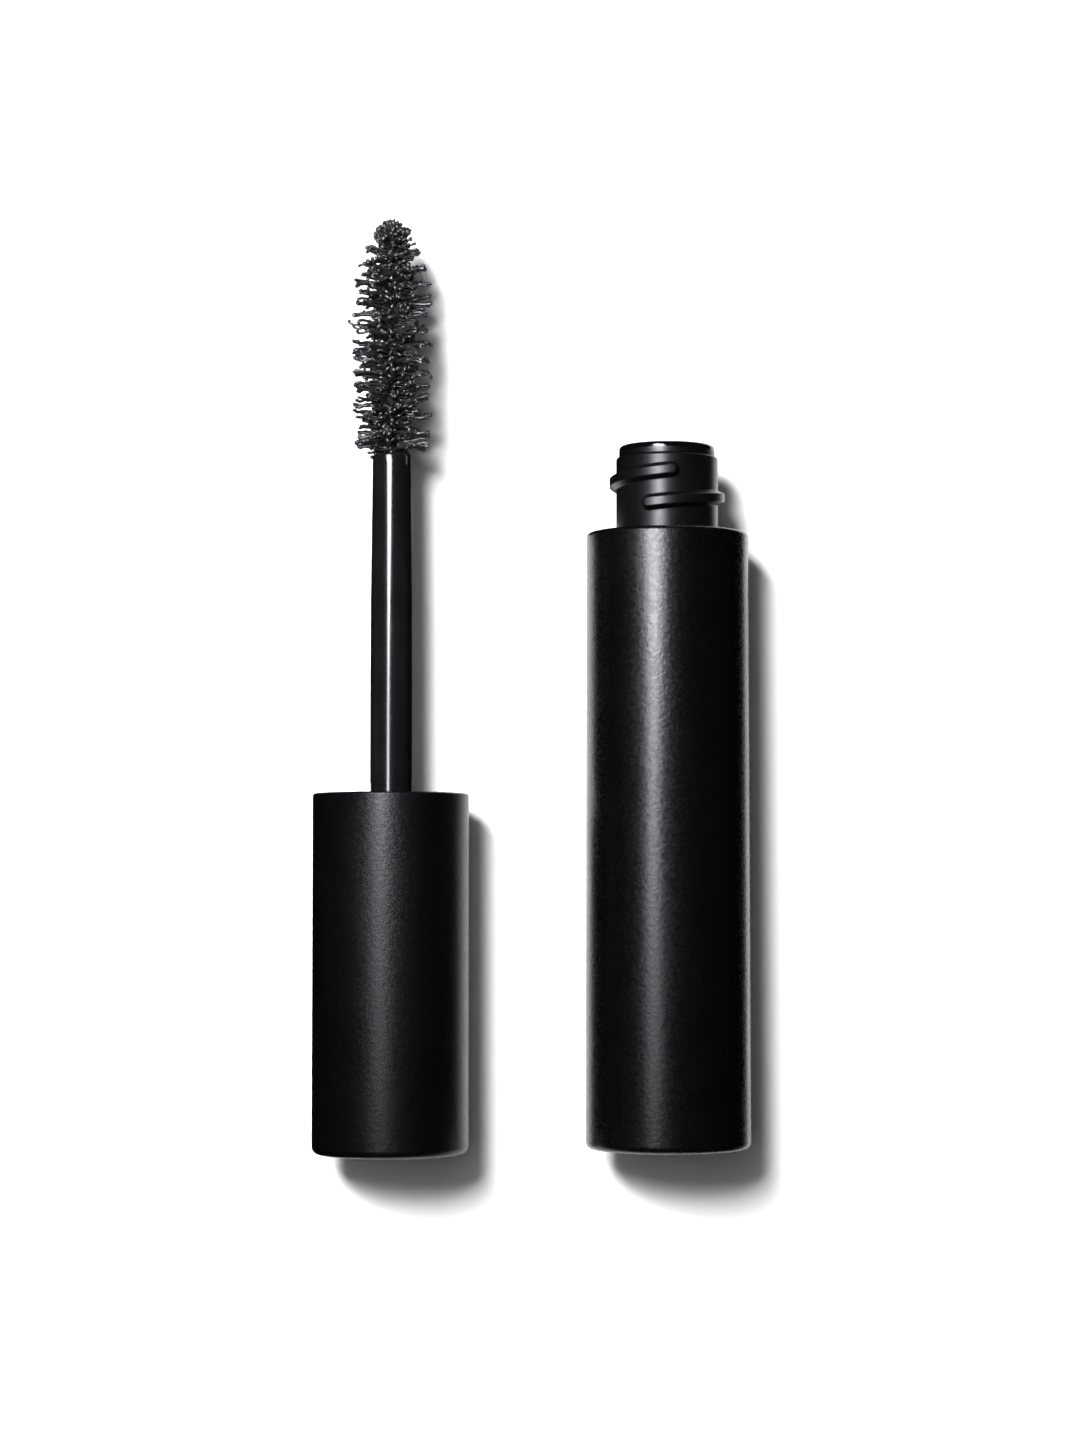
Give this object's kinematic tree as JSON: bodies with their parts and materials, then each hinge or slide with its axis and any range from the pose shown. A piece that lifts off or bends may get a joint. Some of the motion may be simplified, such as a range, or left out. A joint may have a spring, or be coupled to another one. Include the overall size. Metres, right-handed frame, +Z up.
{
  "type": "mascara tube",
  "caption": "Opened cylindrical mascara tube: threaded black bottle with a wiper, and beside it the cap that carries a rod and a twisted-wire bristle brush.",
  "frame": {"origin": "centre of the two lying pieces' common footprint, on the surface they lie on", "axes": "+Y along both tubes' axes, towards the bottle's neck and the brush's tip; +X from the wand to the bottle; +Z up from the surface"},
  "size_m": [0.0518, 0.1106, 0.0195],
  "materials": {
    "satin_black_sleeve": "fine-grained satin black moulding",
    "satin_black_cap": "fine-grained satin black moulding",
    "base_plug_black": "satin black moulding",
    "vial_black": "smooth black moulding",
    "wiper_black": "soft black elastomer",
    "mascara_paste": "wet black paste",
    "liner_black": "smooth black moulding",
    "gasket_foam": "pale closed-cell foam",
    "rod_black": "high gloss black",
    "wire_steel": "drawn bright wire",
    "bristle_nylon": "black nylon filaments"
  },
  "bodies": {
    "bottle": {"outer_sleeve": "satin_black_sleeve", "base_plug": "base_plug_black", "inner_vial": "vial_black", "wiper": "wiper_black", "mascara_fill": "mascara_paste"},
    "wand": {"cap_shell": "satin_black_cap", "cap_collar": "liner_black", "closure_gasket": "gasket_foam", "rod": "rod_black", "core_wire_a": "wire_steel", "core_wire_b": "wire_steel", "bristles": "bristle_nylon"}
  },
  "joints": [
    {"name": "wand_turn_over", "type": "hinge", "parent": "bottle", "child": "wand", "pos_m": [-0.00025, 0.04337, 0.0095], "axis": [0.0152, 0, -0.9999], "range_deg": [0, 180]}
  ]
}
